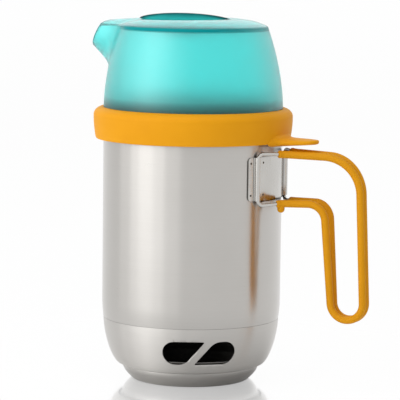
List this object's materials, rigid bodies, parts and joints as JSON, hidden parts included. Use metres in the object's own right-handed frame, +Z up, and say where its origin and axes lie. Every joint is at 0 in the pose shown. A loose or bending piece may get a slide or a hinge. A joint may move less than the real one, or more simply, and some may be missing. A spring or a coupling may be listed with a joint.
{
  "type": "camping kettle pot",
  "caption": "Tall steel camping pot on a vented foot, with a translucent spouted lid, a silicone seal band with a pull tab, and a wire handle whose loops fold round the pot.",
  "frame": {"origin": "under the middle of the whole part, on the plane that it stands on", "axes": "+Z up along the pot's axis, +X from the spout towards the handle, +Y to the left of somebody who looks along +X"},
  "size_m": [0.222, 0.1468, 0.2704],
  "materials": {
    "brushed_steel": "satin brushed stainless steel",
    "polished_steel": "polished stainless steel",
    "orange_silicone": "matte silicone",
    "teal_frosted_plastic": "frosted and translucent, with a soft gloss"
  },
  "bodies": {
    "pot": {"pot_body": "brushed_steel", "heat_skirt": "brushed_steel", "base_ring": "brushed_steel", "handle_bracket": "polished_steel"},
    "lid": {"lid_shell": "teal_frosted_plastic", "seal_ring": "orange_silicone"},
    "front_handle": {"front_handle_wire": "polished_steel", "front_handle_sleeve": "orange_silicone"},
    "back_handle": {"back_handle_wire": "polished_steel", "back_handle_sleeve": "orange_silicone"}
  },
  "joints": [
    {"name": "lid_lift", "type": "slide", "parent": "pot", "child": "lid", "axis": [0, 0, 1], "range_m": [0, 0.06]},
    {"name": "front_handle_fold", "type": "hinge", "parent": "pot", "child": "front_handle", "pos_m": [0.03391, -0.02466, 0.153], "axis": [0, 0, -1], "range_deg": [0, 145]},
    {"name": "back_handle_fold", "type": "hinge", "parent": "pot", "child": "back_handle", "pos_m": [0.03391, 0.02466, 0.153], "axis": [0, 0, 1], "range_deg": [0, 145]}
  ]
}
